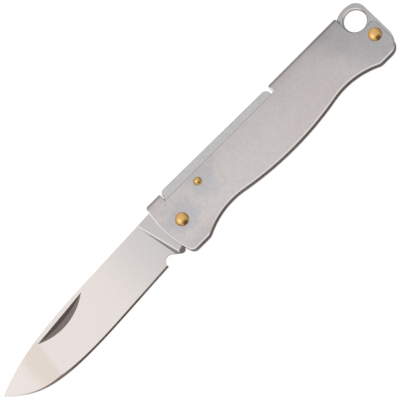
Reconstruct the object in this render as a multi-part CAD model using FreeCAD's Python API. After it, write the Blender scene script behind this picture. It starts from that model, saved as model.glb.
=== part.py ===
import FreeCAD, Part
import math
import os

# Lock-back folding pocket knife, shown open and lying on its rivet heads.
# Millimetres. It is drawn about the blade pivot: +X to the tail, +Y to the back, +Z out of the near side.
# At the end everything moves so that the origin is the bottom centre of the knife's box.

# Folded sheet handle
SHEET = 1.0
SLOT = 2.4
BACK = 10.6
BUMP_DEPTH = 9.0
BULGE_DEPTH = 8.14
GROOVE_DEPTH = 6.03
GROOVE_RADIUS = 25.0
BUMP_RADIUS = 3.5
FRONT_GROOVE_X = 14.3
REAR_GROOVE_BACK = 15.8
FRONT_REACH = 6.2
FRONT_RADIUS = 31.0
FRONT_CREST_Y = 2.2
FRONT_CORNER = 2.0
TAIL_CORNER = 3.5
TAIL_SHOULDER_CORNER = 1.3
CORNER_SHARE = 0.9
EDGE_BREAK = 0.3

# Window in the back for the lock bar
WINDOW_FRONT = 0.43
WINDOW_EDGE = 7.75
WINDOW_REAR_GAP = 0.95

# Blade
BLADE_THICKNESS = 2.0
TIP_X = -72.8
TIP_Y = 0.95
TIP_FLAT = 0.5
SPINE_Y = 8.68
SPINE_BREAK_X = -33.0
SPINE_BREAK_Y = 7.5
SPINE_EASE = 15.0
SPINE_TIP_PULL = 13.0
SPINE_TIP_ANGLE = 22.3
EDGE_BREAK_X = -32.5
EDGE_BREAK_Y = -7.94
EDGE_EASE = 25.9
EDGE_TIP_PULL = 11.3
EDGE_TIP_ANGLE = 44.0
EDGE_HEEL_X = -9.2
EDGE_HEEL_Y = -6.54
HEEL_X = -6.15
HEEL_Y = -6.0
HEEL_RADIUS = 0.9
HEEL_LEAN = 36.0
HEEL_RUN = 3.4
KICK_BEVEL_Y = -5.45
KICK_BEVEL_WIDTH = 0.9
KICK_BEVEL_ANGLE = 17.0
KICK_NOSE_ANGLE = 40.0
KICK_SLANT = 15.0
CHOIL_RADIUS = 1.95
CHOIL_GAP = 0.24
CLOSED_ANGLE = 175.0

# Blade grind
PLUNGE_SPINE_X = -10.25
PLUNGE_HEEL_X = -6.6
PLUNGE_ROLL = 1.5
PLUNGE_CREST = 0.02
PLUNGE_SLOPE = 35.0
GRIND_HEEL_HALF = 0.2
GRIND_BELLY_HALF = 0.19
GRIND_SPINE_HALF = 0.92
TAPER_X = -57.0
TAPER_TIP_HALF = 0.2
EDGE_ANGLE = 18.0
EDGE_LAND_HALF = 0.03

# Nail nick in the near face
NICK_REAR_X = -35.95
NICK_REAR_Y = 6.25
NICK_LENGTH = 19.65
NICK_SLOPE = 5.1
NICK_WALL_ANGLE = 29.0
NICK_FLOOR_ANGLE = 15.0
NICK_RADIUS = 39.0

# Tang and lock
TANG_RADIUS = 6.4
NOTCH_FLOOR = 0.5
HOOK_FRONT = -3.0
HOOK_LENGTH = 2.5
HOOK_PLAY = 0.12
SHOULDER_GAP = 0.25
RIDE_GAP = 0.1
DETENT_RADIUS = 3.0
DETENT_DEPTH = 1.0

# Lock bar
BAR_THICKNESS = 2.2
BAR_GAP = 0.3
BAR_REAR = 44.0
BAR_TOP_FRONT = 10.75
BAR_TOP_REAR = 10.2
BAR_FRONT_CORNER = 1.6
BAR_REAR_CORNER = 1.7
BAR_POCKET_Y = 7.0
BAR_BELLY_Y = 6.4
BAR_ROOT = 0.5
NOSE_DROP = 0.1
TONGUE_REACH = 3.5
TONGUE_DROP = 1.1
TONGUE_DEPTH = 1.2
TONGUE_CORNER = 0.4
BAR_EDGE_BREAK = 0.15

# Lock pin, pivot and tail rivets
PIN_X = 11.0
PIN_Y = 4.8
PIN_RADIUS = 0.7
PIN_HEAD_RADIUS = 1.3
BOSS_WALL = 0.52
RIVET_RADIUS = 1.5
RIVET_HEAD_RADIUS = 2.1
HEAD_HEIGHT = 0.75
RUNNING_GAP = 0.03
SEAT_GAP = 0.02

# Pivot washers
WASHER_RADIUS = 3.6
WASHER_THICKNESS = 0.15

# Tail plate with the lanyard eye, set behind the path of the closing tip
TIP_ROOM = 0.4
EYE_BACK = 3.1
EYE_Y = 5.75
EYE_RADIUS = 3.5
EYE_MARGIN = 0.25
EYE_EDGE_BREAK = 0.25
EYE_WALL = 1.3
EYE_CROWN_Y = 10.6
EYE_CROWN_RADIUS = 8.0
EYE_CORNER = 3.6
FOLD_GAP = 0.1
TAIL_LEDGE = 0.85
TAIL_INSET = 1.0
TAIL_EDGE_BREAK = 0.15
TAIL_RIVET_BACK = 1.1
TAIL_RIVET_Y = -1.75
LIMB_LENGTH = 13.0
LIMB_LOW_Y = 3.2
LIMB_ROOT = 2.0

# Leaf spring under the lock bar's tongue
LEAF_THICKNESS = 0.8
LEAF_SEAT = 6.0
LEAF_GAP = 0.05
LEAF_LAP = 2.2
LEAF_TIP_ROUND = 0.3

# Worked-out sizes shared by several pieces
HALF_SLOT = SLOT / 2
HALF_HANDLE = HALF_SLOT + SHEET
BEND_Y = BACK - HALF_HANDLE
BOSS_RADIUS = PIN_RADIUS + RUNNING_GAP + BOSS_WALL
BAR_FRONT = WINDOW_FRONT + BAR_GAP
WINDOW_REAR = BAR_REAR + WINDOW_REAR_GAP
HOOK_REAR = HOOK_FRONT + HOOK_LENGTH
SHOULDER_X = HOOK_FRONT - SHOULDER_GAP
RIDE_RADIUS = TANG_RADIUS + RIDE_GAP
TONGUE_TOP = BEND_Y - TONGUE_DROP
TONGUE_LOW = TONGUE_TOP - TONGUE_DEPTH
TONGUE_END = WINDOW_REAR + TONGUE_REACH
LEAF_TOP = TONGUE_LOW - LEAF_GAP
TAIL_FRONT = math.hypot(TIP_X, TIP_Y) + TIP_ROOM
EYE_X = TAIL_FRONT + EYE_BACK
TAIL_RIVET_X = EYE_X + TAIL_RIVET_BACK
PLATE_REAR = EYE_X + EYE_RADIUS + EYE_WALL
HANDLE_REAR = PLATE_REAR - TAIL_LEDGE
LIMB_FRONT = TAIL_FRONT - LIMB_LENGTH
BIG = 200.0
TINY = 0.001

# Centre, shaft radius and head radius of each rivet
PIVOT = (0.0, 0.0, RIVET_RADIUS, RIVET_HEAD_RADIUS)
TAIL_RIVET = (TAIL_RIVET_X, TAIL_RIVET_Y, RIVET_RADIUS, RIVET_HEAD_RADIUS)
LOCK_PIN = (PIN_X, PIN_Y, PIN_RADIUS, PIN_HEAD_RADIUS)


def at(x, y, z=0.0):
    return FreeCAD.Vector(x, y, z)


def line(start, end):
    return Part.LineSegment(start, end).toShape()


def arc_about(centre, start, end):
    """The shorter arc about a centre, from one point on the circle to another."""
    middle = (start - centre) + (end - centre)
    middle.normalize()
    return Part.Arc(start, centre + middle * (start - centre).Length, end).toShape()


def path(points):
    return [line(a, b) for a, b in zip(points, points[1:])]


def slab(edges, thickness):
    """A flat piece with this outline, centred on the knife's middle plane."""
    face = Part.Face(Part.Wire(edges))
    solid = face.extrude(at(0, 0, thickness))
    solid.translate(at(0, 0, -thickness / 2))
    return solid


def post(x, y, radius, height=BIG):
    return Part.makeCylinder(radius, height, at(x, y, -height / 2))


def block(x_low, x_high, y_low, y_high, depth=BIG):
    return Part.makeBox(x_high - x_low, y_high - y_low, depth, at(x_low, y_low, -depth / 2))


def break_rims(solid, half_thickness, size):
    """Chamfer the outline of a flat piece on both faces."""
    rims = [
        edge
        for edge in solid.Edges
        if all(abs(abs(v.Z) - half_thickness) < TINY for v in edge.Vertexes)
    ]
    return solid.makeChamfer(size, rims)


def round_uprights(solid, corners):
    """Round the edges that run along Z at the given (x, y, radius) corners."""
    for x, y, radius in corners:
        chosen = [
            edge
            for edge in solid.Edges
            if all(math.hypot(v.X - x, v.Y - y) < TINY for v in edge.Vertexes)
        ]
        solid = solid.makeFillet(radius, chosen)
    return solid


def toward(start, end, distance):
    step = end - start
    step.normalize()
    return start + step * distance


def belly_edges():
    """Front bump, finger groove, bulge, rear groove and rear bump as tangent arcs."""
    rear_groove_x = EYE_X - REAR_GROOVE_BACK
    half_span = (rear_groove_x - FRONT_GROOVE_X) / 2
    drop = BULGE_DEPTH - GROOVE_DEPTH
    bulge_radius = (half_span**2 + drop**2) / (2 * drop) - GROOVE_RADIUS
    groove_y = -GROOVE_DEPTH - GROOVE_RADIUS
    front_groove = at(FRONT_GROOVE_X, groove_y)
    rear_groove = at(rear_groove_x, groove_y)
    bulge = at(FRONT_GROOVE_X + half_span, bulge_radius - BULGE_DEPTH)
    bump_y = BUMP_RADIUS - BUMP_DEPTH
    bump_run = math.sqrt((GROOVE_RADIUS + BUMP_RADIUS) ** 2 - (bump_y - groove_y) ** 2)
    front_bump = at(FRONT_GROOVE_X - bump_run, bump_y)
    rear_bump = at(rear_groove_x + bump_run, bump_y)
    ends = [
        at(front_bump.x, -BUMP_DEPTH),
        toward(front_groove, front_bump, GROOVE_RADIUS),
        toward(front_groove, bulge, GROOVE_RADIUS),
        toward(rear_groove, bulge, GROOVE_RADIUS),
        toward(rear_groove, rear_bump, GROOVE_RADIUS),
        at(rear_bump.x, -BUMP_DEPTH),
    ]
    centres = [front_bump, front_groove, bulge, rear_groove, rear_bump]
    return ends, [arc_about(c, a, b) for c, a, b in zip(centres, ends, ends[1:])]


def front_edge_x(y):
    return FRONT_RADIUS - FRONT_REACH - math.sqrt(FRONT_RADIUS**2 - (y - FRONT_CREST_Y) ** 2)


def handle_outline():
    """The side view of the handle; a lower corner takes at most its share of the flat beside it."""
    over = BACK + SHEET
    notch = EYE_RADIUS + EYE_MARGIN
    front_top = at(front_edge_x(over), over)
    front_low = at(front_edge_x(-BUMP_DEPTH), -BUMP_DEPTH)
    belly_ends, belly = belly_edges()
    ledge = at(EYE_X, EYE_Y - notch)
    side = at(EYE_X - notch, EYE_Y)
    edges = [arc_about(at(FRONT_RADIUS - FRONT_REACH, FRONT_CREST_Y), front_top, front_low)]
    edges.append(line(front_low, belly_ends[0]))
    edges += belly
    edges += path([belly_ends[-1], at(HANDLE_REAR, -BUMP_DEPTH), at(HANDLE_REAR, ledge.y), ledge])
    edges.append(arc_about(at(EYE_X, EYE_Y), ledge, side))
    edges += path([side, at(side.x, over), front_top])
    front_flat = belly_ends[0].x - front_low.x
    rear_flat = HANDLE_REAR - belly_ends[-1].x
    corners = [
        (front_low.x, front_low.y, min(FRONT_CORNER, CORNER_SHARE * front_flat)),
        (HANDLE_REAR, -BUMP_DEPTH, min(TAIL_CORNER, CORNER_SHARE * rear_flat)),
        (HANDLE_REAR, ledge.y, TAIL_SHOULDER_CORNER),
    ]
    return edges, corners


def folded_bar(half_width):
    """A bar with a half-round back, running along X through the whole handle."""
    low = -BIG / 2
    bar = block(-BIG, BIG, low, BEND_Y, 2 * half_width)
    return bar.fuse(Part.makeCylinder(half_width, 2 * BIG, at(-BIG, BEND_Y, 0), at(1, 0, 0)))


def handle_shell():
    edges, corners = handle_outline()
    profile = round_uprights(slab(edges, 4 * HALF_HANDLE), corners)
    shell = folded_bar(HALF_HANDLE).cut(folded_bar(HALF_SLOT)).common(profile)
    shell = shell.cut(block(WINDOW_FRONT, WINDOW_REAR, WINDOW_EDGE, BIG))
    shell = shell.removeSplitter().Solids[0]
    rims = [
        edge
        for edge in shell.Edges
        if all(abs(abs(v.Z) - HALF_HANDLE) < TINY for v in edge.Vertexes)
        and not all(abs(v.Y - BEND_Y) < TINY for v in edge.Vertexes)
    ]
    shell = shell.makeChamfer(EDGE_BREAK, rims)
    for x, y, shaft_radius, _ in (PIVOT, TAIL_RIVET, LOCK_PIN):
        shell = shell.cut(post(x, y, shaft_radius + SEAT_GAP))
    return shell


def heading(angle):
    return at(math.cos(math.radians(angle)), math.sin(math.radians(angle)))


def bezier(poles):
    curve = Part.BezierCurve()
    curve.setPoles(poles)
    return curve.toShape()


def cutting_edge():
    """The straight edge from the heel and the curved belly up to the tip."""
    heel = at(EDGE_HEEL_X, EDGE_HEEL_Y)
    bend = at(EDGE_BREAK_X, EDGE_BREAK_Y)
    tip = at(TIP_X, TIP_Y - TIP_FLAT)
    belly_pull = toward(bend, heel, -EDGE_EASE)
    tip_pull = tip + heading(-EDGE_TIP_ANGLE) * EDGE_TIP_PULL
    return [line(heel, bend), bezier([bend, belly_pull, tip_pull, tip])]


def blade_outline():
    shoulder = at(SHOULDER_X, SPINE_Y)
    bend = at(SPINE_BREAK_X, SPINE_BREAK_Y)
    tip = at(TIP_X, TIP_Y)
    spine_pull = toward(bend, shoulder, -SPINE_EASE)
    tip_pull = tip + heading(SPINE_TIP_ANGLE) * SPINE_TIP_PULL
    heel_front = at(HEEL_X, HEEL_Y) + heading(270 - HEEL_LEAN) * HEEL_RADIUS
    heel_low = at(HEEL_X, HEEL_Y - HEEL_RADIUS)
    heel_rear = at(HEEL_X + HEEL_RADIUS, HEEL_Y)
    edges = [line(shoulder, bend), bezier([bend, spine_pull, tip_pull, tip])]
    edges.append(line(tip, at(TIP_X, TIP_Y - TIP_FLAT)))
    edges += [edge.reversed() for edge in reversed(cutting_edge())]
    heel_start = heel_front + heading(180 - HEEL_LEAN) * HEEL_RUN
    edges += path([at(EDGE_HEEL_X, EDGE_HEEL_Y), heel_start, heel_front])
    edges.append(Part.Arc(heel_front, heel_low, heel_rear).toShape())
    edges += path([heel_rear, at(SHOULDER_X, 0), shoulder])
    return edges


def grind_height(x, y):
    """Half thickness of the flat grind, on the plane through its three named heights."""
    heel = at(EDGE_HEEL_X, EDGE_HEEL_Y, GRIND_HEEL_HALF)
    belly = at(EDGE_BREAK_X, EDGE_BREAK_Y, GRIND_BELLY_HALF)
    spine = at(PLUNGE_SPINE_X, SPINE_Y, GRIND_SPINE_HALF)
    normal = (belly - heel).cross(spine - heel)
    return heel.z - (normal.x * (x - heel.x) + normal.y * (y - heel.y)) / normal.z


def grind_tool():
    """A block over the ground part of the near face, ending where the tang rolls over into a slope."""
    spine = at(PLUNGE_SPINE_X, SPINE_Y)
    heel = at(PLUNGE_HEEL_X, HEEL_Y)
    root = [toward(spine, heel, -BLADE_THICKNESS * 5), toward(heel, spine, -BLADE_THICKNESS * 5)]
    reach = at(2 * TIP_X, 0)
    corners = [root[0], root[1], root[1] + reach, root[0] + reach]
    floor = [at(c.x, c.y, grind_height(c.x, c.y)) for c in corners]
    face = Part.Face(Part.Wire(path(floor + floor[:1])))
    tool = face.extrude(at(0, 0, 4 * BLADE_THICKNESS))
    along = root[1] - root[0]
    start = at(root[0].x, root[0].y, BLADE_THICKNESS / 2 + PLUNGE_CREST - PLUNGE_ROLL)
    tool = tool.cut(Part.makeCylinder(PLUNGE_ROLL, along.Length, start, along))
    outward = at(along.y, -along.x)
    outward.normalize()
    slope = math.radians(PLUNGE_SLOPE)
    crest = start + outward * (PLUNGE_ROLL * math.sin(slope)) + at(0, 0, PLUNGE_ROLL * math.cos(slope))
    foot = crest + (outward * math.cos(slope) - at(0, 0, math.sin(slope))) * (4 * BLADE_THICKNESS)
    under = at(start.x, start.y, foot.z)
    ramp = Part.Face(Part.Wire(path([start, crest, foot, under, start]))).extrude(along)
    return tool.cut(ramp)


def taper_tool():
    """A block over the near face that leaves the flat grind at the taper line and thins the tip."""
    slope = (grind_height(TIP_X, TIP_Y) - TAPER_TIP_HALF) / (TAPER_X - TIP_X)
    wide = 10 * BLADE_THICKNESS
    corners = [at(0, -wide), at(0, wide), at(2 * TIP_X, wide), at(2 * TIP_X, -wide)]
    floor = [at(c.x, c.y, grind_height(c.x, c.y) - slope * (TAPER_X - c.x)) for c in corners]
    return Part.Face(Part.Wire(path(floor + floor[:1]))).extrude(at(0, 0, wide))


def edge_tool():
    """The sharpening bevel of the near face, swept along the cutting edge at a constant angle."""
    edges = cutting_edge()
    start = at(EDGE_HEEL_X, EDGE_HEEL_Y)
    along = at(EDGE_BREAK_X, EDGE_BREAK_Y) - start
    along.normalize()
    inward = at(along.y, -along.x)
    if inward.y < 0:
        inward = inward * -1
    rise = math.tan(math.radians(EDGE_ANGLE))
    inner = BLADE_THICKNESS
    outer = -BLADE_THICKNESS / 2
    low = [start + inward * d + at(0, 0, EDGE_LAND_HALF + d * rise) for d in (inner, outer)]
    high = [start + inward * d + at(0, 0, BLADE_THICKNESS) for d in (outer, inner)]
    section = Part.Wire(path(low + high + low[:1]))
    return Part.Wire(edges).makePipeShell([section], True, False)


def kick_tool():
    """The two bevels that round off the near face of the heel below the plain tang."""
    front = PLUNGE_HEEL_X - HEEL_RADIUS
    reach = HEEL_X + 2 * HEEL_RADIUS - front
    slant = math.tan(math.radians(KICK_SLANT))
    drop = 4 * HEEL_RADIUS
    crest = at(front, KICK_BEVEL_Y - (HEEL_X - front) * slant, BLADE_THICKNESS / 2)
    ridge = crest + at(0, -KICK_BEVEL_WIDTH, -KICK_BEVEL_WIDTH * math.tan(math.radians(KICK_BEVEL_ANGLE)))
    nose = ridge + at(0, -drop, -drop * math.tan(math.radians(KICK_NOSE_ANGLE)))
    corners = [crest, ridge, nose, at(front, nose.y, BLADE_THICKNESS), at(front, crest.y, BLADE_THICKNESS)]
    face = Part.Face(Part.Wire(path(corners + corners[:1])))
    return face.extrude(at(reach, reach * slant, 0))


def nick_tool():
    """A wide shallow cone: its flat end makes the nick's straight upper wall, its side the lower one."""
    along = heading(180 + NICK_SLOPE)
    across = heading(90 + NICK_SLOPE)
    up = at(0, 0, 1)
    middle = at(NICK_REAR_X, NICK_REAR_Y) + along * (NICK_LENGTH / 2)
    middle.z = grind_height(middle.x, middle.y)
    tilt = math.radians(NICK_WALL_ANGLE)
    flare = math.radians(90 - NICK_WALL_ANGLE - NICK_FLOOR_ANGLE)
    wall_up = across * math.cos(tilt) + up * math.sin(tilt)
    axis = up * math.cos(tilt) - across * math.sin(tilt)
    set_back = math.sqrt(NICK_RADIUS**2 - (NICK_LENGTH / 2) ** 2)
    height = 2 * BLADE_THICKNESS
    wide = NICK_RADIUS + height * math.tan(flare)
    return Part.makeCone(NICK_RADIUS, wide, height, middle + wall_up * set_back, axis)


def turned(solid, angle):
    copy = solid.copy()
    copy.rotate(at(0, 0), at(0, 0, 1), angle)
    return copy


def blade():
    body = slab(blade_outline(), BLADE_THICKNESS)
    body = body.fuse(post(0, 0, TANG_RADIUS, BLADE_THICKNESS)).removeSplitter()
    notch = block(SHOULDER_X, HOOK_REAR + HOOK_PLAY, 0, BIG).cut(post(0, 0, TANG_RADIUS - NOTCH_FLOOR))
    body = body.cut(notch)
    hook_angle = math.degrees(math.acos((HOOK_FRONT + HOOK_LENGTH / 2) / TANG_RADIUS))
    detent = post(TANG_RADIUS + DETENT_RADIUS - DETENT_DEPTH, 0, DETENT_RADIUS)
    body = body.cut(turned(detent, hook_angle - CLOSED_ANGLE))
    pin_when_closed = turned(Part.Vertex(PIN_X, PIN_Y, 0), -CLOSED_ANGLE)
    choil_y = pin_when_closed.Y - (CHOIL_RADIUS - BOSS_RADIUS - CHOIL_GAP)
    body = body.cut(post(pin_when_closed.X, choil_y, CHOIL_RADIUS))
    for tool in (grind_tool(), taper_tool(), edge_tool(), kick_tool()):
        body = body.cut(tool)
        body = body.cut(tool.mirror(at(0, 0), at(0, 0, 1)))
    body = body.cut(nick_tool())
    return body.cut(post(0, 0, RIVET_RADIUS + RUNNING_GAP))


def lock_bar():
    nose_top = BEND_Y - NOSE_DROP
    hook_low_front = at(HOOK_FRONT, math.sqrt(RIDE_RADIUS**2 - HOOK_FRONT**2))
    hook_low_rear = at(HOOK_REAR, math.sqrt(RIDE_RADIUS**2 - HOOK_REAR**2))
    boss_front = at(PIN_X - BOSS_RADIUS, PIN_Y)
    boss_low = at(PIN_X, PIN_Y - BOSS_RADIUS)
    boss_rear = at(PIN_X + BOSS_RADIUS, PIN_Y)
    nose = at(HOOK_FRONT, nose_top)
    edges = [line(nose, hook_low_front), arc_about(at(0, 0), hook_low_front, hook_low_rear)]
    edges += path([hook_low_rear, at(HOOK_REAR, BAR_POCKET_Y), at(boss_front.x, BAR_POCKET_Y), boss_front])
    edges.append(Part.Arc(boss_front, boss_low, boss_rear).toShape())
    tail = [
        boss_rear,
        at(boss_rear.x, BAR_BELLY_Y),
        at(TONGUE_END, TONGUE_LOW),
        at(TONGUE_END, TONGUE_TOP),
        at(BAR_REAR, TONGUE_TOP),
        at(BAR_REAR, BAR_TOP_REAR),
        at(BAR_FRONT, BAR_TOP_FRONT),
        at(BAR_FRONT, nose_top),
        nose,
    ]
    edges += path(tail)
    corners = [
        (BAR_FRONT, BAR_TOP_FRONT, BAR_FRONT_CORNER),
        (BAR_REAR, BAR_TOP_REAR, BAR_REAR_CORNER),
        (BAR_REAR, TONGUE_TOP, BAR_ROOT),
        (BAR_FRONT, nose_top, BAR_ROOT),
        (boss_front.x, BAR_POCKET_Y, BAR_ROOT),
        (boss_rear.x, BAR_BELLY_Y, BAR_ROOT),
        (TONGUE_END, TONGUE_LOW, TONGUE_CORNER),
        (TONGUE_END, TONGUE_TOP, TONGUE_CORNER),
    ]
    bar = round_uprights(slab(edges, BAR_THICKNESS), corners)
    bar = break_rims(bar, BAR_THICKNESS / 2, BAR_EDGE_BREAK)
    return bar.cut(post(PIN_X, PIN_Y, PIN_RADIUS + RUNNING_GAP))


def tail_plate():
    """The eye at the rear and a limb under the folded back, clear of the closing tip."""
    low = TAIL_INSET - BUMP_DEPTH
    low_front = at(math.sqrt(TAIL_FRONT**2 - low**2), low)
    limb_root = at(math.sqrt(TAIL_FRONT**2 - LIMB_LOW_Y**2), LIMB_LOW_Y)
    limb_top = BEND_Y - NOSE_DROP
    crown = at(EYE_X, EYE_CROWN_Y - EYE_CROWN_RADIUS)
    crown_rear = at(PLATE_REAR, crown.y + math.sqrt(EYE_CROWN_RADIUS**2 - (PLATE_REAR - EYE_X) ** 2))
    step_x = EYE_X - EYE_RADIUS - EYE_MARGIN + FOLD_GAP
    crown_front = at(step_x, crown.y + math.sqrt(EYE_CROWN_RADIUS**2 - (step_x - EYE_X) ** 2))
    edges = [arc_about(at(0, 0), low_front, limb_root)]
    edges += path([limb_root, at(LIMB_FRONT, LIMB_LOW_Y), at(LIMB_FRONT, limb_top)])
    edges += path([at(LIMB_FRONT, limb_top), at(step_x, limb_top), crown_front])
    edges.append(arc_about(crown, crown_front, crown_rear))
    edges += path([crown_rear, at(PLATE_REAR, low), low_front])
    corners = [
        (crown_rear.x, crown_rear.y, EYE_CORNER),
        (PLATE_REAR, low, TAIL_CORNER + TAIL_LEDGE),
        (limb_root.x, limb_root.y, LIMB_ROOT),
    ]
    plate = break_rims(round_uprights(slab(edges, SLOT), corners), HALF_SLOT, TAIL_EDGE_BREAK)
    plate = plate.cut(post(EYE_X, EYE_Y, EYE_RADIUS))
    wide = EYE_RADIUS + EYE_EDGE_BREAK
    flare = Part.makeCone(EYE_RADIUS, wide, EYE_EDGE_BREAK, at(EYE_X, EYE_Y, HALF_SLOT - EYE_EDGE_BREAK))
    plate = plate.cut(flare).cut(flare.mirror(at(0, 0), at(0, 0, 1)))
    plate = plate.cut(post(TAIL_RIVET_X, TAIL_RIVET_Y, RIVET_RADIUS + SEAT_GAP))
    seat_low = LEAF_TOP - LEAF_THICKNESS - SEAT_GAP
    return plate.cut(block(LIMB_FRONT, LIMB_FRONT + LEAF_SEAT, seat_low, LEAF_TOP + SEAT_GAP))


def leaf_spring():
    tip = TONGUE_END - LEAF_LAP
    leaf = block(tip, LIMB_FRONT + LEAF_SEAT, LEAF_TOP - LEAF_THICKNESS, LEAF_TOP, BAR_THICKNESS)
    corners = [(tip, LEAF_TOP, LEAF_TIP_ROUND), (tip, LEAF_TOP - LEAF_THICKNESS, LEAF_TIP_ROUND)]
    return round_uprights(leaf, corners)


def rivet(x, y, shaft_radius, head_radius):
    """A shaft through both sides with a domed head formed at each end."""
    crown = HALF_HANDLE + HEAD_HEIGHT
    dome = (head_radius**2 + HEAD_HEIGHT**2) / (2 * HEAD_HEIGHT)
    shape = post(x, y, shaft_radius, 2 * HALF_HANDLE)
    for side in (1, -1):
        ball = Part.makeSphere(dome, at(x, y, side * (crown - dome)))
        cap = post(x, y, head_radius, HEAD_HEIGHT)
        cap.translate(at(0, 0, side * (HALF_HANDLE + HEAD_HEIGHT / 2)))
        shape = shape.fuse(cap.common(ball))
    return shape.removeSplitter()


def pivot_washers():
    ring = post(0, 0, WASHER_RADIUS, WASHER_THICKNESS)
    ring = ring.cut(post(0, 0, RIVET_RADIUS + RUNNING_GAP))
    near = ring.copy()
    far = ring.copy()
    seat = HALF_SLOT - WASHER_THICKNESS / 2
    near.translate(at(0, 0, seat))
    far.translate(at(0, 0, -seat))
    return Part.makeCompound([near, far])


def main():
    pieces = {
        "handle_shell": handle_shell(),
        "blade": blade(),
        "lock_bar": lock_bar(),
        "tail_plate": tail_plate(),
        "leaf_spring": leaf_spring(),
        "pivot_rivet": rivet(*PIVOT),
        "tail_rivet": rivet(*TAIL_RIVET),
        "lock_pin": rivet(*LOCK_PIN),
        "pivot_washers": pivot_washers(),
    }
    box = Part.makeCompound(list(pieces.values())).optimalBoundingBox(False, False)
    shift = at(-box.Center.x, -box.Center.y, -box.ZMin)
    os.makedirs("parts", exist_ok=True)
    for name, shape in pieces.items():
        shape.translate(shift)
        shape.exportStep(f"parts/{name}.step")
        print(f"{name}: {len(shape.Solids)} solids, {shape.Volume:.2f} mm3, valid {shape.isValid()}")
    print(f"box {box.XLength:.2f} x {box.YLength:.2f} x {box.ZLength:.2f} mm")
    for name, x, y in [("pivot", 0, 0), ("lock pin", PIN_X, PIN_Y), ("eye", EYE_X, EYE_Y)]:
        print(f"{name} at x {x + shift.x:.4f}, y {y + shift.y:.4f}, z {shift.z:.4f}")


main()
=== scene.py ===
import math

import bmesh
import bpy
from mathutils import Matrix, Vector


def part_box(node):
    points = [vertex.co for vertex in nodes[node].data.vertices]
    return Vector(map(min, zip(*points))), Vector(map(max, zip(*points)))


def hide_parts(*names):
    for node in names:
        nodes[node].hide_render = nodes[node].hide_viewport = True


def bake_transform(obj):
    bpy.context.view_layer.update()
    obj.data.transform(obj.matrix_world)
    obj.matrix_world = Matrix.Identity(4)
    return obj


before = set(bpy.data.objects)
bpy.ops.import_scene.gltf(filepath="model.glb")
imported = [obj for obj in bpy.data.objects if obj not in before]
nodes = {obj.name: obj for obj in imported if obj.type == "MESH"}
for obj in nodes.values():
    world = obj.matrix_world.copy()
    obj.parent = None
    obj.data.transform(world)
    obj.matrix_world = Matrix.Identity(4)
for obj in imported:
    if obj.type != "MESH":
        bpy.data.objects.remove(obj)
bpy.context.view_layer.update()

MM = 0.001

# Camera: looks down at the near side from over the belly, turned so that the blade points to the lower left
ELEVATION = math.radians(74.8)
ROLL = math.radians(-45.03)
DISTANCE = 1.0
LENS = 310.0
AIM = Vector((0.00347, -0.00001, 0.00295))

# Stage: the key lamp's direction and make, the floor and the two tones of the surroundings
KEY = Vector((-0.56, 0.25, 0.79)).normalized()
KEY_DISTANCE = 2.0
KEY_SIZE = 1.5
KEY_POWER = 5.0
FLOOR_HALF = 4.0
FLOOR_GLOW = 0.92
FLOOR_COLOUR = (0.16, 0.16, 0.16, 1)
STUDIO_DARK = (0.15, 0.122, 0.11, 1)
STUDIO_LIGHT = (1.0, 0.99, 0.985, 1)

# Bending spring: the pieces it is cut into along its length, and the share of its depth left at the tip
SPRING_STEPS = 40
SPRING_TIP = 0.5

# Steels, each with a warm and a cool tone that its clouds mix
SHEET_WARM, SHEET_COOL = (0.593, 0.553, 0.547, 1), (0.545, 0.528, 0.532, 1)
BAR_WARM, BAR_COOL = (0.556, 0.547, 0.555, 1), (0.525, 0.52, 0.53, 1)
TAIL_WARM, TAIL_COOL = (0.48, 0.467, 0.472, 1), (0.445, 0.44, 0.452, 1)
SPRING_WARM, SPRING_COOL = (0.36, 0.36, 0.39, 1), (0.30, 0.32, 0.37, 1)
BLADE_WARM, BLADE_COOL = (0.78, 0.71, 0.69, 1), (0.757, 0.72, 0.695, 1)
SPECULAR_TINT = (0.55, 0.53, 0.52, 1)

# Places on the sheet that differ. The tints multiply.
PIVOT_RING = (0.49, 0.485, 0.503, 1)
PIN_RING = (0.512, 0.504, 0.518, 1)
# Painted shade over the tail, round the lanyard eye
TAIL_PAINTED_SHADE = (0.46, 0.45, 0.463, 1)
# Painted highlight on the chamfered edges
EDGE_PAINTED_HIGHLIGHT = (0.86, 0.83, 0.815, 1)
# Painted shade on the outside of the fold
FOLD_PAINTED_SHADE = (0.69, 0.665, 0.65, 1)
# Cut sides: their own darker finish with painted shade
SIDE_FINISH_AND_SHADE = (0.78, 0.7, 0.66, 1)
# Painted light on the tail plate's cut sides and its eye's bore
TAIL_SIDE_PAINTED_LIGHT = (1.2, 1.12, 1.08, 1)
RING_REACH = 7.5 * MM
PIN_RING_DRIFT = 2 * MM
INSIDE_REACH = 1.22 * MM
TAIL_FADE = 0.91

# Places on the blade that differ; all but the tang's flat and the warmer band are painted shade. The tints
# multiply.
TANG_FLAT = (0.535, 0.518, 0.52, 1)
CREST_PAINTED_SHADE = (0.5, 0.49, 0.485, 1)
TIP_FACET_PAINTED_SHADE = (0.945, 0.945, 0.94, 1)
TIP_BAND_TINT = (0.925, 0.898, 0.855, 1)
ROOT_PAINTED_SHADE = (0.77, 0.805, 0.825, 1)
PLUNGE_PAINTED_SHADE = (0.74, 0.72, 0.71, 1)
KEEN_PAINTED_SHADE = (0.68, 0.63, 0.61, 1)
EDGE_LINE_PAINTED_SHADE = (0.6, 0.53, 0.5, 1)
NICK_PAINTED_SHADE = (0.26, 0.235, 0.225, 1)

# Brass, and how upright a head's surface is where its rim's painted shade ends
BRASS_LIGHT, BRASS_DARK = (0.72, 0.455, 0.175, 1), (0.64, 0.39, 0.14, 1)
RIM_PAINTED_SHADE = (0.62, 0.55, 0.5, 1)
RIVET_RIM = (0.77, 0.9)
PIN_RIM = (0.5, 0.65)


def centre_of(node):
    low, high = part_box(node)
    return (low + high) / 2


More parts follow.
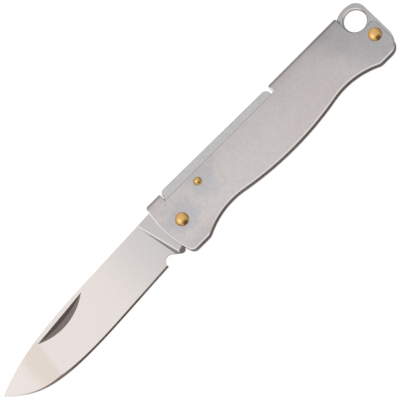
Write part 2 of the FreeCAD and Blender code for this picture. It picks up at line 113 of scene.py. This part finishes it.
class Shader:
    """One node tree, with a short call for each kind of node that the finishes use."""

    def __init__(self, tree):
        self.tree = tree
        tree.nodes.clear()

    def add(self, kind, inputs=None, **settings):
        node = self.tree.nodes.new("ShaderNode" + kind)
        for name, value in settings.items():
            setattr(node, name, value)
        for name, value in (inputs or {}).items():
            self.plug(value, node.inputs[name])
        return node

    def plug(self, value, socket):
        if isinstance(value, bpy.types.NodeSocket):
            self.tree.links.new(value, socket)
        else:
            socket.default_value = value

    def math(self, operation, a, b=0.0):
        return self.add("Math", {0: a, 1: b}, operation=operation).outputs[0]

    def times(self, a, b):
        return self.math("MULTIPLY", a, b)

    def larger(self, a, b):
        return self.math("MAXIMUM", a, b)

    def dot(self, a, b):
        return self.add("VectorMath", {0: a, 1: b}, operation="DOT_PRODUCT").outputs["Value"]

    def split(self, vector):
        return self.add("SeparateXYZ", {0: vector}).outputs

    def stretched(self, where, scale):
        return self.add("VectorMath", {0: where, 1: scale}, operation="MULTIPLY").outputs[0]

    def remap(self, value, low, high, to_low, to_high):
        inputs = {"Value": value, "From Min": low, "From Max": high, "To Min": to_low, "To Max": to_high}
        return self.add("MapRange", inputs, interpolation_type="SMOOTHSTEP").outputs[0]

    def mix(self, share, a, b, blend="MIX"):
        node = self.add("Mix", data_type="RGBA", blend_type=blend)
        for socket, value in ((node.inputs[0], share), (node.inputs[6], a), (node.inputs[7], b)):
            self.plug(value, socket)
        return node.outputs[2]

    def tint(self, share, colour, factor):
        return self.mix(share, colour, factor, "MULTIPLY")

    def noise(self, where, size, detail):
        inputs = {"Vector": where, "Scale": 1 / size, "Detail": detail, "Roughness": 0.5}
        return self.add("TexNoise", inputs).outputs["Fac"]

    def bump(self, height, depth, strength):
        inputs = {"Height": height, "Distance": depth, "Strength": strength}
        return self.add("Bump", inputs).outputs["Normal"]

    def finish(self, shader):
        kind = "OutputWorld" if self.tree == bpy.context.scene.world.node_tree else "OutputMaterial"
        self.add(kind, {"Surface": shader})


def new_material(name):
    material = bpy.data.materials.new(name)
    material.use_nodes = True
    return material, Shader(material.node_tree)


def metal(shader, colour, roughness, normal, metallic=1.0):
    inputs = {"Base Color": colour, "Metallic": metallic, "Roughness": roughness, "Normal": normal}
    inputs["Specular Tint"] = SPECULAR_TINT
    shader.finish(shader.add("BsdfPrincipled", inputs).outputs[0])


def rivet_halo(shader, where, node, reach, drift, wobble):
    """1 about a rivet, fading to 0 at the given distance with an uneven border; it drifts toward the tail."""
    middle = centre_of(node)
    flat = shader.stretched(where, (1, 1, 0))
    start = (middle.x + drift, middle.y, 0)
    away = shader.add("VectorMath", {0: flat, 1: start}, operation="DISTANCE").outputs["Value"]
    return shader.remap(shader.math("ADD", away, wobble), 0.2 * reach, reach, 1, 0)


def tail_painted_shade(shader, where, wobble):
    """0 over the handle, 1 at its tail, with a slanting border: where painted shade darkens the sheet round the
    lanyard eye.
    """
    along = shader.dot(where, (1, 0.5, 0))
    return shader.remap(shader.math("ADD", along, wobble), 56 * MM, 68 * MM, 0, 1)


def edge_shade(shader, colour, place, sides):
    """Tints the cut sides with their own darker finish and painted shade, or on the tail plate painted light;
    paints shade on the outside of the fold and a highlight on the chamfered edges, whose share it returns.
    """
    normal = shader.split(shader.add("TexCoord").outputs["Normal"])
    upright = shader.math("ABSOLUTE", normal["Z"])
    # Chamfered edges: a painted highlight, and a lower roughness further down
    edge = shader.times(shader.remap(upright, 0.4, 0.6, 0, 1), shader.remap(upright, 0.75, 0.9, 1, 0))
    edge = shader.times(edge, shader.remap(normal["Y"], 0.2, 0.4, 1, 0))
    edge = shader.times(edge, shader.remap(normal["X"], 0.2, 0.5, 1, 0))
    # Cut sides: their own darker finish with painted shade, or painted light on the tail plate
    side = shader.times(shader.remap(upright, 0.25, 0.6, 1, 0), shader.remap(normal["Y"], 0, 0.3, 1, 0))
    colour = shader.tint(side, colour, sides)
    # Painted shade on the outside of the fold
    fold_shade = shader.remap(place["Y"], 7.8 * MM, 8.6 * MM, 0, 1)
    fold_shade = shader.times(fold_shade, shader.remap(normal["Y"], 0.38, 0.52, 0, 1))
    colour = shader.tint(fold_shade, colour, FOLD_PAINTED_SHADE)
    return shader.mix(edge, colour, EDGE_PAINTED_HIGHLIGHT), edge


def inside_of(shader, place, node, reach):
    """1 nearer to a node's middle plane than the given distance: the duller, less metallic inner faces of the
    folded sheet.
    """
    away = shader.math("ABSOLUTE", shader.math("SUBTRACT", place["Z"], centre_of(node).z))
    return shader.remap(away, reach, reach + 0.05 * MM, 1, 0)


def tumbled_steel(name, warm, cool, roughness, halos=(), tail_shade=None, hollow=None, fade=1.0, sides=SIDE_FINISH_AND_SHADE):
    """Stainless sheet from the tumbler: a fine even mottle, soft clouds and cooler rings round the rivets, with
    painted shade toward the back.
    """
    material, shader = new_material(name)
    where = shader.add("TexCoord").outputs["Object"]
    place = shader.split(where)
    grain = shader.noise(where, 0.9 * MM, 4)
    cloud = shader.noise(where, 10 * MM, 3)
    wobble = shader.remap(shader.noise(where, 3.5 * MM, 3), 0.3, 0.7, -3.0 * MM, 3.0 * MM)
    colour = shader.mix(shader.remap(cloud, 0.4, 0.7, 0, 0.4), warm, cool)
    for node, reach, drift, ring in halos:
        halo = rivet_halo(shader, where, node, reach, drift, shader.times(wobble, 0.7))
        colour = shader.mix(halo, colour, ring)
    # Painted shade over the tail, round the lanyard eye
    if tail_shade:
        colour = shader.mix(tail_painted_shade(shader, where, shader.times(wobble, 0.4)), colour, tail_shade)
    mottle = shader.math("ADD", grain, shader.times(cloud, 0.6))
    shade = shader.remap(mottle, 0.55, 1.05, 0.94, 1.05)
    # Painted shade: darker toward the back of the handle
    shade = shader.times(shade, shader.remap(place["Y"], -4 * MM, 9 * MM, 1, 0.91))
    if tail_shade:
        # Darker at the belly's front corner, and painted shade along the fold
        front = shader.remap(place["X"], 2 * MM, 14 * MM, 1, 0)
        corner = shader.times(front, shader.remap(place["Y"], -9 * MM, -5 * MM, 0.1, 0))
        shade = shader.times(shade, shader.math("SUBTRACT", 1.0, corner))
        shade = shader.times(shade, shader.remap(place["Y"], 5.9 * MM, 7.2 * MM, 1, 0.94))
    shade = shader.times(shade, shader.remap(place["X"], 5 * MM, 65 * MM, 1, fade))
    colour = shader.tint(1.0, colour, shade)
    colour, edge = edge_shade(shader, colour, place, sides)
    rough = shader.remap(grain, 0.3, 0.7, roughness - 0.04, roughness + 0.04)
    rough = shader.times(rough, shader.remap(edge, 0, 1, 1, 0.4))
    metallic = 1.0
    if hollow:
        metallic = shader.remap(inside_of(shader, place, *hollow), 0, 1, 1, 0.3)
    metal(shader, colour, rough, shader.bump(grain, 0.008 * MM, 0.5), metallic)
    return material


def satin_blade(name):
    """Ground faces with fine lines across and a slightly warmer band behind the tip, and painted shade on the
    tip's facet, toward the root, on the plunge, the bevel and the nick; the tang's flats are duller.
    """
    material, shader = new_material(name)
    coordinates = shader.add("TexCoord").outputs
    where = coordinates["Object"]
    place = shader.split(where)
    x = place["X"]
    normal = shader.split(coordinates["Normal"])
    upright = shader.math("ABSOLUTE", normal["Z"])
    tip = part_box("blade")[0].x
    lines = shader.noise(shader.stretched(where, (1, 0.06, 1)), 0.15 * MM, 2)
    cloud = shader.noise(where, 14 * MM, 2)
    grain = shader.noise(where, 0.6 * MM, 2)

    # Ground faces: painted shade on the thinner facet at the tip, a warmer band behind the tip, and painted
    # shade, darker and cooler, toward the root
    colour = shader.mix(cloud, BLADE_WARM, BLADE_COOL)
    tip_facet_shade = shader.remap(normal["X"], -0.03, -0.015, 1, 0)
    tip_facet_shade = shader.times(tip_facet_shade, shader.remap(upright, 0.98, 0.99, 0, 1))
    colour = shader.tint(tip_facet_shade, colour, TIP_FACET_PAINTED_SHADE)
    slant = shader.dot(where, (1, -0.13, 0))
    bent = shader.math("ADD", slant, shader.remap(cloud, 0.3, 0.7, -1 * MM, 1 * MM))
    tip_band = shader.remap(bent, tip + 8.5 * MM, tip + 13 * MM, 0, 1)
    tip_band = shader.times(tip_band, shader.remap(slant, tip + 16 * MM, tip + 18.5 * MM, 1, 0))
    colour = shader.tint(tip_band, colour, TIP_BAND_TINT)
    colour = shader.tint(shader.remap(x, -38 * MM, -10 * MM, 0, 1), colour, ROOT_PAINTED_SHADE)

    # Tang, then the plunge before it: painted shade on its crest and on its steeper slope
    colour = shader.mix(shader.remap(upright, 0.9993, 0.9998, 0, 1), colour, TANG_FLAT)
    colour = shader.tint(1.0, colour, shader.remap(grain, 0.3, 0.7, 0.99, 1.005))
    root = shader.remap(x, -30 * MM, -25 * MM, 0, 1)
    crest = shader.times(root, shader.remap(normal["X"], -0.1, -0.02, 1, 0))
    colour = shader.mix(crest, colour, CREST_PAINTED_SHADE)
    sunk = shader.times(root, shader.remap(normal["X"], -0.44, -0.28, 1, 0))
    colour = shader.tint(sunk, colour, PLUNGE_PAINTED_SHADE)

    # Painted shade on the edge's bevel and the nick's wall, which both slope to the edge, more on the bevel's
    # middle, and on the nick's floor
    keen = shader.remap(normal["Y"], -0.3, -0.2, 1, 0)
    keen = shader.times(keen, shader.remap(x, tip + 2 * MM, tip + 8 * MM, 0, 1))
    colour = shader.tint(keen, colour, KEEN_PAINTED_SHADE)
    line = shader.times(keen, shader.remap(place["Y"], -2 * MM, 0, 1, 0))
    line = shader.times(line, shader.remap(x, -61 * MM, -54 * MM, 0, 1))
    line = shader.times(line, shader.remap(x, -30 * MM, -25 * MM, 1, 0))
    colour = shader.tint(line, colour, EDGE_LINE_PAINTED_SHADE)
    scooped = shader.remap(normal["Y"], 0.08, 0.2, 0, 1)
    scooped = shader.times(scooped, shader.remap(upright, 0.85, 0.92, 0, 1))
    colour = shader.tint(scooped, colour, NICK_PAINTED_SHADE)

    rough = shader.remap(lines, 0.3, 0.7, 0.26, 0.28)
    metal(shader, colour, rough, shader.bump(lines, 0.0001 * MM, 0.3))
    return material


def brass(name, rim=RIVET_RIM):
    """Riveted brass with hammer dimples and fine scratches, and painted shade at the rim of its head."""
    material, shader = new_material(name)
    coordinates = shader.add("TexCoord").outputs
    where = coordinates["Object"]
    dents = shader.noise(where, 0.9 * MM, 2)
    grain = shader.noise(where, 0.2 * MM, 2)
    colour = shader.mix(grain, BRASS_LIGHT, BRASS_DARK)
    height = shader.math("ADD", dents, shader.times(grain, 0.1))
    upright = shader.math("ABSOLUTE", shader.split(coordinates["Normal"])["Z"])
    colour = shader.tint(shader.remap(upright, *rim, 1, 0), colour, RIM_PAINTED_SHADE)
    rough = shader.remap(grain, 0.3, 0.7, 0.24, 0.29)
    metal(shader, colour, rough, shader.bump(height, 0.1 * MM, 0.5))
    return material


def dress(node, material):
    nodes[node].material_slots[0].material = material


def dress_nodes():
    halos = [("pivot_rivet", RING_REACH, 0, PIVOT_RING), ("lock_pin", RING_REACH, PIN_RING_DRIFT, PIN_RING)]
    hollow = ("handle_shell", INSIDE_REACH)
    sheet = tumbled_steel("tumbled_sheet", SHEET_WARM, SHEET_COOL, 0.36, halos, TAIL_PAINTED_SHADE, hollow, TAIL_FADE)
    dress("handle_shell", sheet)
    dress("lock_bar", tumbled_steel("bar_steel", BAR_WARM, BAR_COOL, 0.34))
    dress("tail_plate", tumbled_steel("tail_steel", TAIL_WARM, TAIL_COOL, 0.36, sides=TAIL_SIDE_PAINTED_LIGHT))
    dress("leaf_spring", tumbled_steel("spring_steel", SPRING_WARM, SPRING_COOL, 0.3))
    dress("blade", satin_blade("satin_steel"))
    rivets = brass("rivet_brass")
    for node in ("pivot_rivet", "tail_rivet"):
        dress(node, rivets)
    dress("lock_pin", brass("pin_brass", PIN_RIM))
    dress("pivot_washers", brass("washer_bronze"))


def make_spring():
    """A copy of the leaf spring, cut into pieces along its length, that takes the leaf's place; its root is left
    as it was.
    It thins toward the tip, so that it clears the closed blade when the lock bar is pressed."""
    low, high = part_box("leaf_spring")
    limb_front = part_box("tail_plate")[0].x
    shape = bmesh.new()
    shape.from_mesh(nodes["leaf_spring"].data)
    for step in range(1, SPRING_STEPS):
        place = low.lerp(high, step / SPRING_STEPS)
        everything = shape.verts[:] + shape.edges[:] + shape.faces[:]
        bmesh.ops.bisect_plane(shape, geom=everything, plane_co=place, plane_no=(1, 0, 0))
    for vertex in shape.verts:
        share = min(1, (vertex.co.x - low.x) / (limb_front - low.x))
        depth = (high.y - vertex.co.y) * (SPRING_TIP + (1 - SPRING_TIP) * share)
        vertex.co.y = high.y - depth
    mesh = nodes["leaf_spring"].data.copy()
    shape.to_mesh(mesh)
    shape.free()
    spring = bpy.data.objects.new("bending_spring", mesh)
    bpy.context.scene.collection.objects.link(spring)
    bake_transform(spring)
    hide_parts("leaf_spring")


def make_floor():
    """White table. The eye and the metal see it white, with the knife's soft shadow on it."""
    corners = [(sx * FLOOR_HALF, sy * FLOOR_HALF, 0) for sx, sy in ((-1, -1), (1, -1), (1, 1), (-1, 1))]
    mesh = bpy.data.meshes.new("floor")
    mesh.from_pydata(corners, [], [(0, 1, 2, 3)])
    floor = bpy.data.objects.new("floor", mesh)
    bpy.context.scene.collection.objects.link(floor)
    material, shader = new_material("white_table")
    path = shader.add("LightPath").outputs
    seen = shader.larger(path["Is Camera Ray"], path["Is Glossy Ray"])
    seen = shader.larger(seen, path["Is Transmission Ray"])
    glow = shader.add("Emission", {"Strength": shader.times(seen, FLOOR_GLOW)}).outputs[0]
    matt = shader.add("BsdfDiffuse", {"Color": FLOOR_COLOUR}).outputs[0]
    shader.finish(shader.add("AddShader", {0: glow, 1: matt}).outputs[0])
    mesh.materials.append(material)


def make_world():
    """A broad soft ceiling, brighter round the key lamp, a dark gap on the belly's side and a pale horizon."""
    world = bpy.data.worlds.new("studio")
    bpy.context.scene.world = world
    world.use_nodes = True
    shader = Shader(world.node_tree)
    ray = shader.add("TexCoord").outputs["Generated"]
    toward = shader.split(ray)
    sideways = shader.math("ABSOLUTE", toward["X"])
    over = shader.remap(toward["Y"], -0.38, -0.12, 0, 1)
    over = shader.larger(over, shader.remap(sideways, 0.38, 0.65, 0, 1))
    over = shader.larger(over, shader.remap(toward["X"], -0.55, -0.3, 1, 0))
    ceiling = shader.times(over, shader.remap(sideways, 0.45, 0.9, 1, 0.4))
    horizon = shader.remap(toward["Z"], 0.25, 0.42, 0.9, 0)
    horizon = shader.times(horizon, shader.remap(toward["X"], 0.2, 0.8, 1, 0.4))
    horizon = shader.larger(horizon, shader.remap(toward["Y"], -0.955, -0.89, 0.78, 0))
    colour = shader.mix(shader.larger(ceiling, horizon), STUDIO_DARK, STUDIO_LIGHT)
    strength = shader.remap(shader.dot(ray, KEY), 0.91, 0.95, 1, 1.15)
    shader.finish(shader.add("Background", {"Color": colour, "Strength": strength}).outputs[0])


def make_key():
    lamp = bpy.data.lights.new("key", "AREA")
    lamp.size = KEY_SIZE
    lamp.energy = KEY_POWER
    placed = bpy.data.objects.new("key", lamp)
    placed.location = KEY * KEY_DISTANCE
    placed.rotation_euler = KEY.to_track_quat("Z", "Y").to_euler()
    bpy.context.scene.collection.objects.link(placed)


def make_camera():
    back = Vector((0, -math.cos(ELEVATION), math.sin(ELEVATION)))
    level = Vector((1, 0, 0))
    upward = back.cross(level)
    right = math.cos(ROLL) * level + math.sin(ROLL) * upward
    up = back.cross(right)
    camera = bpy.data.cameras.new("camera")
    camera.lens = LENS
    placed = bpy.data.objects.new("camera", camera)
    axes = Matrix((right, up, back)).transposed().to_4x4()
    placed.matrix_world = Matrix.Translation(AIM + back * DISTANCE) @ axes
    bpy.context.scene.collection.objects.link(placed)
    bpy.context.scene.camera = placed


make_world()
make_floor()
make_key()
dress_nodes()
make_spring()
make_camera()
bpy.context.scene.view_settings.view_transform = "Standard"
